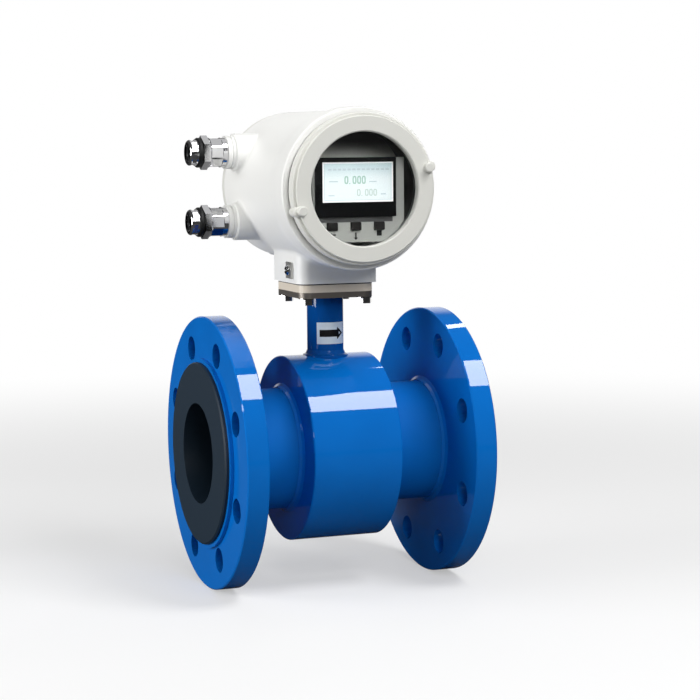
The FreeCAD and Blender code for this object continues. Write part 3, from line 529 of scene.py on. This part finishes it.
def flatWrap(originX, face, originZ):
    # places (u, v, height) on an upright wall: x = originX + u, y = face - height, z = originZ + v
    def wrap(u, v, height):
        return np.stack([originX + u * mm, np.full(u.shape, face - height * mm), originZ + v * mm], -1)

    return wrap


arrowLook = {
    "shaftHalf": 2.6,      # mm
    "headHalf": 4.6,       # mm
    "headLength": 5.6,     # mm
    "overlap": 0.5,        # mm that the shaft runs on into the head
    "startAngle": -37.0,   # degrees round the tag from the front
    "tipAngle": 40.0,      # degrees
    "spot": 2.2,           # mm from the head's foot to the middle of the open spot in it
    "spotShare": 0.28,     # size of the spot, as a share of the head's
    "height": 0.06,        # mm of ink
    "steps": 24,           # points along the shaft's bend
    "perSide": 14,         # points on each side of the head
}


def flowArrow():
    # a filled shaft and an open arrowhead bent round the tag: u is arc length, so a point lies at angle u / r,
    # at radius r + height
    look = arrowLook
    low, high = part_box("arrow_plate")
    tagR = -low.y
    middleZ = (low.z + high.z) / 2
    start, tip = (math.radians(look[key]) * tagR / mm for key in ("startAngle", "tipAngle"))
    neck = tip - look["headLength"]
    half = look["headHalf"]
    outer = outlineSamples([(neck, -half), (tip, 0), (neck, half)], look["perSide"])
    inner = np.array([neck + look["spot"], 0]) + look["spotShare"] * (outer - outer.mean(0))

    def wrap(u, v, height):
        angle = u * mm / tagR
        radius = tagR + height * mm
        return np.stack([radius * np.sin(angle), -radius * np.cos(angle), middleZ + v * mm], -1)

    shaft = inkBar((start, neck + look["overlap"]), (-look["shaftHalf"], look["shaftHalf"]),
                   look["height"], wrap, look["steps"])
    head = inkBand(outer, inner, look["height"] + inkCover, wrap)
    meshPiece("flow_arrow_print", *joinMeshes([shaft, head]), "meter", "black_plastic", blackInk)


displayLook = {
    # all in mm, measured from the middle of the screen
    "height": 0.04,                        # of the ink
    "mainDigit": (3.0, 5.7, 0.95),         # width, height, stroke
    "mainPlaces": (-8.7, -2.6, 0.9, 4.4),
    "mainLevel": 1.5,
    "mainPoint": (-6.2, -2.5, 0.8, 0.8),   # place, level from the digits' middle, width, height
    "lowDigit": (2.8, 5.0, 0.8),
    "lowPlaces": (0.6, 6.6, 9.8, 13.0),
    "lowLevel": -7.4,
    "lowPoint": (2.9, -2.2, 0.7, 0.7),
    "bars": (                              # place, level, width, height
        (-18.3, 0.5, 6.6, 0.8), (-19.9, -9.3, 4.6, 0.7),
        (19.3, -8.6, 3.8, 0.8), (11.3, 0.2, 5.6, 0.7)),
    "topLevel": 8.9,
    "topBar": (2.5, 1.3, 3.6, -21.0, 13),  # width, height, pitch, first place, how many
    "frame": (50.3, 25.0, 0.22),           # width, height, line
    "zeroPoints": 32,                      # points round a zero
}


def displayMarks():
    # a ring for each zero: |x / a| to the power 3 plus |z / b| to the power 3 equals 1, at the outer and the
    # inner size, so x = a * signed cos to the power 2/3 and z = b * signed sin to the power 2/3; words are
    # plain bars
    look = displayLook
    low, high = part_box("lcd_screen")
    middle = (low + high) / 2
    turn = np.linspace(0, 2 * math.pi, look["zeroPoints"], endpoint=False)
    across, upward = (np.sign(f(turn)) * np.abs(f(turn)) ** (2 / 3) for f in (np.cos, np.sin))
    wrap = flatWrap(middle.x, low.y, middle.z)

    def zero(place, level, width, tall, stroke):
        rings = [np.stack([place + (width / 2 - cut) * across, level + (tall / 2 - cut) * upward], -1)
                 for cut in (0, stroke)]
        return inkBand(*rings, look["height"], wrap)

    def bar(place, level, width, tall):
        return inkBar((place - width / 2, place + width / 2), (level - tall / 2, level + tall / 2),
                      look["height"], wrap)

    def number(row):
        level = look[row + "Level"]
        place, drop, wide, tall = look[row + "Point"]
        zeros = [zero(each, level, *look[row + "Digit"]) for each in look[row + "Places"]]
        return joinMeshes(zeros + [bar(place, level + drop, wide, tall)])

    width, tall, pitch, first, count = look["topBar"]
    faints = [bar(first + pitch * i, look["topLevel"], width, tall) for i in range(count)]
    faints += [bar(*each) for each in look["bars"]]
    frameWide, frameTall, line = look["frame"]
    faints += [bar(0, side * frameTall / 2, frameWide, line) for side in (-1, 1)]
    faints += [bar(side * frameWide / 2, 0, line, frameTall) for side in (-1, 1)]
    meshPiece("display_main_number", *number("main"), "meter", "lcd_glass", segmentInk)
    meshPiece("display_low_number", *number("low"), "meter", "lcd_glass", lowInk)
    meshPiece("display_small_marks", *joinMeshes(faints), "meter", "lcd_glass", faintInk)


keyMarkLook = {
    # all in mm; each mark is measured from a point below the middle of its key
    "height": 0.05,          # of the ink
    "drop": 1.6,             # from the key's foot down to that point
    "stemHalf": 0.55,
    "headHalf": 1.5,
    "downStem": (-3.6, 0),   # levels of the stem's foot and top
    "downHead": (-3.5, -5.3),            # levels of the head's wide end and its point
    "leftLevel": -1.4,       # level of the arrow that points left
    "leftStem": (-0.5, 2.7),             # places of the stem's two ends
    "leftHead": (-0.4, -2.1),            # places of the head's wide end and its point
    "stop": ((-1.9, 1.9), (-2.6, 1.3)),  # its two sides, and its foot and top
    "fill": 0.05,            # size of the hole left in a filled head, as a share of the head's
    "perSide": 6,            # points on each side of a head
}


def keyMarks():
    # plain signs printed under the keys: an arrow to the left, an arrow down, and a square stop
    look = keyMarkLook
    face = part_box("display_fascia")[0].y
    stem, half, level = look["stemHalf"], look["headHalf"], look["leftLevel"]
    (side, leftTip), (foot, downTip) = look["leftHead"], look["downHead"]
    bars = {
        "left_key": (look["leftStem"], (level - stem, level + stem)),
        "centre_key": ((-stem, stem), look["downStem"]),
        "right_key": look["stop"],
    }
    heads = {
        "left_key": [(side, level - half), (side, level + half), (leftTip, level)],
        "centre_key": [(-half, foot), (half, foot), (0, downTip)],
    }
    parts = []
    for name, (uRange, vRange) in bars.items():
        low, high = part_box(name)
        wrap = flatWrap((low.x + high.x) / 2, face, low.z - look["drop"] * mm)
        parts.append(inkBar(uRange, vRange, look["height"], wrap))
        if name in heads:
            outer = outlineSamples(heads[name], look["perSide"])
            inner = outer.mean(0) + look["fill"] * (outer - outer.mean(0))
            parts.append(inkBand(outer, inner, look["height"] + inkCover, wrap))
    meshPiece("key_signs_print", *joinMeshes(parts), "meter", "black_plastic", blackInk)


bezelShadowLook = {
    "height": 0.05,   # mm that the sheet stands
    "left": 2.5,      # mm in from the display frame's left end
    "right": 2.0,     # mm in from its right end
    "gap": 0.05,      # mm below the frame's foot
}


def bezelShadowStrip():
    # a dark strip across the fascia, from the foot of the display frame down to the tops of the keys: the
    # bezel's painted shadow
    look = bezelShadowLook
    low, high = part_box("lcd_bezel")
    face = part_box("display_fascia")[0].y
    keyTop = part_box("centre_key")[1].z
    wide, drop = (high.x - low.x) / mm, (low.z - keyTop) / mm
    strip = inkBar((look["left"], wide - look["right"]), (-drop, -look["gap"]), look["height"],
                   flatWrap(low.x, face, low.z))
    meshPiece("fascia_painted_bezel_shadow", *strip, "meter", "black_plastic", bezelShadowInk)


flowArrow()
displayMarks()
keyMarks()
# the bezel's painted shadow on the fascia
bezelShadowStrip()
print("arrow, display marks and key signs printed")


cameraLook = {
    "focal": 103.34,       # mm
    "sensor": 36,          # mm
    "azimuth": 20.986,     # degrees to the left of the front
    "elevation": 6.042,    # degrees
    "roll": -0.448,        # degrees
    "distance": 1.502941,  # m from the target
    "target": (0.019674, 0.0, 0.070479),  # m
}


def studioCamera():
    # the camera stands back from its target along (-sin a cos e, -cos a cos e, sin e)
    look = cameraLook
    a, e, roll = (math.radians(look[key]) for key in ("azimuth", "elevation", "roll"))
    back = Vector((-math.sin(a) * math.cos(e), -math.cos(a) * math.cos(e), math.sin(e)))
    side = (-back).cross(Vector((0, 0, 1))).normalized()
    up = side.cross(-back)
    right = side * math.cos(roll) + up * math.sin(roll)
    upright = up * math.cos(roll) - side * math.sin(roll)
    data = bpy.data.cameras.new("studio_camera")
    data.lens = look["focal"]
    data.sensor_width = look["sensor"]
    camera = bpy.data.objects.new("studio_camera", data)
    bpy.context.scene.collection.objects.link(camera)
    turn = Matrix((right, upright, back)).transposed().to_4x4()
    camera.matrix_world = Matrix.Translation(Vector(look["target"]) + back * look["distance"]) @ turn
    bpy.context.scene.camera = camera


lampLook = {
    # place, aim and size (width, height) in m; radiance is the brightness of the face; spin in degrees
    "overhead_softbox": {
        "place": (0.505, -0.655, 1.22), "aim": (0.02, 0.0, 0.03), "size": (0.50, 0.57),
        "radiance": 13, "spin": -25},
    "high_strip": {
        "place": (0.67, 0.64, 1.22), "aim": (0.085, -0.045, 0.09), "size": (0.08, 0.28), "radiance": 11},
    "near_panel": {
        "place": (-0.02, 0.16, 0.60), "aim": (-0.02, 0.16, 0.0), "size": (0.24, 0.62), "radiance": 0.6},
    "front_softbox": {
        "place": (-0.05, -1.85, 1.0), "aim": (0, 0, 0.08), "size": (1.1, 0.9), "radiance": 6.3},
    "left_softbox": {
        "place": (-1.6, 0.1, 0.3), "aim": (0, 0, 0.08), "size": (0.9, 0.9), "radiance": 9.5},
}


def softbox(name, place, aim, size, radiance, spin=0.0):
    # a rectangular lamp whose face shines evenly: its power is radiance * pi * area; spin turns it about
    # its aim
    width, height = size
    data = bpy.data.lights.new(name, "AREA")
    data.shape = "RECTANGLE"
    data.size = width
    data.size_y = height
    data.energy = radiance * math.pi * width * height
    lamp = bpy.data.objects.new(name, data)
    bpy.context.scene.collection.objects.link(lamp)
    lamp.location = place
    lamp.rotation_mode = "QUATERNION"
    facing = (Vector(aim) - Vector(place)).to_track_quat("-Z", "Y")
    lamp.rotation_quaternion = facing @ Quaternion((0, 0, 1), math.radians(spin))


def grey(level):
    # a neutral colour, already linear
    return (level, level, level, 1.0)


roomLook = {
    "fill": 0.08,          # brightness of the room all round
    "backdrop": 1.0,       # brightness of the backdrop behind the object
    "backdropEdge": (0.82, 0.95),  # cosines from its middle where it begins and where it is full
    "floorSeen": 0.9,      # paleness of the floor as the eye sees it
    "floorBounce": 0.25,   # and as it lights the object from below
    "floorMirror": 0.07,   # and as it shows in gloss
    "floorWhite": 0.45,    # share of plain white near the object
    "fadeStart": 0.35,     # m from the middle where the floor begins to turn into the backdrop
    "fadeEnd": 1.4,        # m
    "halfSide": 12.0,      # m
    "floorGap": 0.0002,    # m between the floor and the object, which stops flicker where they would touch
}


def backdropShare(tree, direction):
    # how far a direction points at the backdrop behind the object: a smooth step of its cosine with the
    # direction of the backdrop
    a = math.radians(cameraLook["azimuth"])
    start, full = roomLook["backdropEdge"]
    towards = addNode(tree, "VectorMath", {"operation": "DOT_PRODUCT"}, {
        "Vector": direction, "Vector_001": (math.sin(a), math.cos(a), 0.0)}).outputs["Value"]
    return addNode(tree, "MapRange", {"interpolation_type": "SMOOTHSTEP"}, {
        "Value": towards, "From Min": start, "From Max": full})


def studioWorld():
    # a dim room with a white backdrop behind the object; to the eye the room is white on every side
    world = bpy.data.worlds.new("studio_room")
    bpy.context.scene.world = world
    world.use_nodes = True
    tree = world.node_tree
    tree.nodes.clear()
    direction = addNode(tree, "TexCoord").outputs["Generated"]
    room = addNode(tree, "MapRange", None, {
        "Value": backdropShare(tree, direction),
        "To Min": roomLook["fill"], "To Max": roomLook["backdrop"]})
    seen = addNode(tree, "LightPath").outputs["Is Camera Ray"]
    level = addNode(tree, "Math", {"operation": "MAXIMUM"}, {"Value": room, "Value_001": seen})
    light = addNode(tree, "Background", None, {"Color": grey(1), "Strength": level})
    addNode(tree, "OutputWorld", None, {"Surface": light})


def studioFloor():
    # a matt white sweep: it carries the object's shadow near the object and fades to the white of the backdrop
    # with the distance from the middle; light that bounces from it is held back, so undersides stay deep
    look = roomLook
    material, tree, place = newMaterial("matt_white_studio_sweep")
    away = addNode(tree, "VectorMath", {"operation": "LENGTH"}, {"Vector": place}).outputs["Value"]
    fade = addNode(tree, "MapRange", {"interpolation_type": "SMOOTHSTEP"}, {
        "Value": away, "From Min": look["fadeStart"], "From Max": look["fadeEnd"],
        "To Min": look["floorWhite"]})
    outward = addNode(tree, "VectorMath", {"operation": "NORMALIZE"}, {"Vector": place})
    behind = backdropShare(tree, outward)
    rays = addNode(tree, "LightPath")
    gloss = addNode(tree, "Mix", {"data_type": "RGBA"}, {
        "Factor_Float": rays.outputs["Is Glossy Ray"],
        "A_Color": grey(look["floorBounce"]), "B_Color": grey(look["floorMirror"])})
    tone = addNode(tree, "Mix", {"data_type": "RGBA"}, {
        "Factor_Float": rays.outputs["Is Camera Ray"],
        "A_Color": gloss, "B_Color": grey(look["floorSeen"])})
    matt = addNode(tree, "BsdfDiffuse", None, {"Color": tone})
    white = addNode(tree, "Emission", None, {"Color": grey(1), "Strength": 1.0})
    shows = addNode(tree, "Math", {"operation": "MAXIMUM"}, {
        "Value": rays.outputs["Is Camera Ray"], "Value_001": behind})
    share = addNode(tree, "Math", {"operation": "MULTIPLY"}, {"Value": fade, "Value_001": shows})
    surface = addNode(tree, "MixShader", None, {
        "Fac": share, "Shader": matt, "Shader_001": white})
    closeMaterial(material, tree, surface)
    side = np.linspace(-look["halfSide"], look["halfSide"], 3)
    x, y = np.meshgrid(side, side)
    points = np.stack([x, y, np.full_like(x, cadBox[0].z - look["floorGap"])], -1).reshape(-1, 3)
    mesh = bpy.data.meshes.new("studio_floor")
    mesh.from_pydata(points.tolist(), [], gridFaces(3, 3).tolist())
    mesh.materials.append(material)
    floor = bpy.data.objects.new("studio_floor", mesh)
    bpy.context.scene.collection.objects.link(floor)


studioCamera()
studioWorld()
studioFloor()
for name, lamp in lampLook.items():
    softbox(name, **lamp)
bpy.context.scene.view_settings.view_transform = "Standard"
print("studio set")
